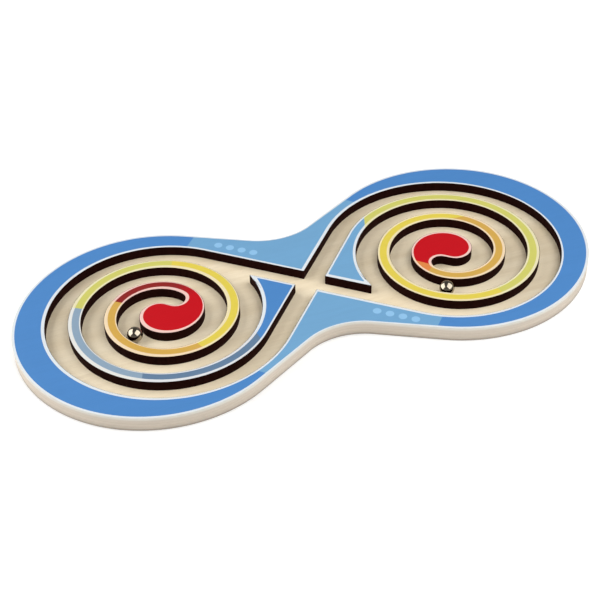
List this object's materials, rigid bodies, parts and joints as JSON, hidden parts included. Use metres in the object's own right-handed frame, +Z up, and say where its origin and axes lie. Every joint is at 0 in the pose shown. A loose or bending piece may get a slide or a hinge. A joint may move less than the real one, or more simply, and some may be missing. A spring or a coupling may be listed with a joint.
{
  "type": "tilt maze game",
  "caption": "Flat figure-eight wooden board with a spiral groove in each round end, joined by crossing channels, for steel balls rolled by tilting.",
  "frame": {"origin": "centre of the underside's outline, on the surface that the board lies on", "axes": "+X along the board from the left lobe to the right lobe, +Y away from the player, +Z up"},
  "size_m": [0.408, 0.188, 0.0141],
  "materials": {
    "base_ply": "clear-lacquered birch plywood, pale grain on top and thin layers along the edge",
    "rim_ply": "birch plywood printed satin blue inside a narrow pale border, with browned cut edges inside",
    "wall_ply": "birch plywood printed in satin red, amber, yellow, green and blue stretches inside a narrow pale border, with browned cut edges",
    "ball_steel": "polished bearing steel"
  },
  "bodies": {
    "board": {"base_board": "base_ply", "track_rim": "rim_ply", "left_spiral": "wall_ply", "right_spiral": "wall_ply"},
    "left_ball": {"left_ball": "ball_steel"},
    "right_ball": {"right_ball": "ball_steel"}
  },
  "joints": [
    {"name": "left_ball_roll", "type": "hinge", "parent": "board", "child": "left_ball", "pos_m": [-0.10316, -0.00105, 0.0088], "axis": [0, 0, 1], "range_deg": [-125, 92]},
    {"name": "right_ball_roll", "type": "hinge", "parent": "board", "child": "right_ball", "pos_m": [0.10767, -0.01187, 0.0088], "axis": [0, 0, 1], "range_deg": [-120, 108]}
  ]
}
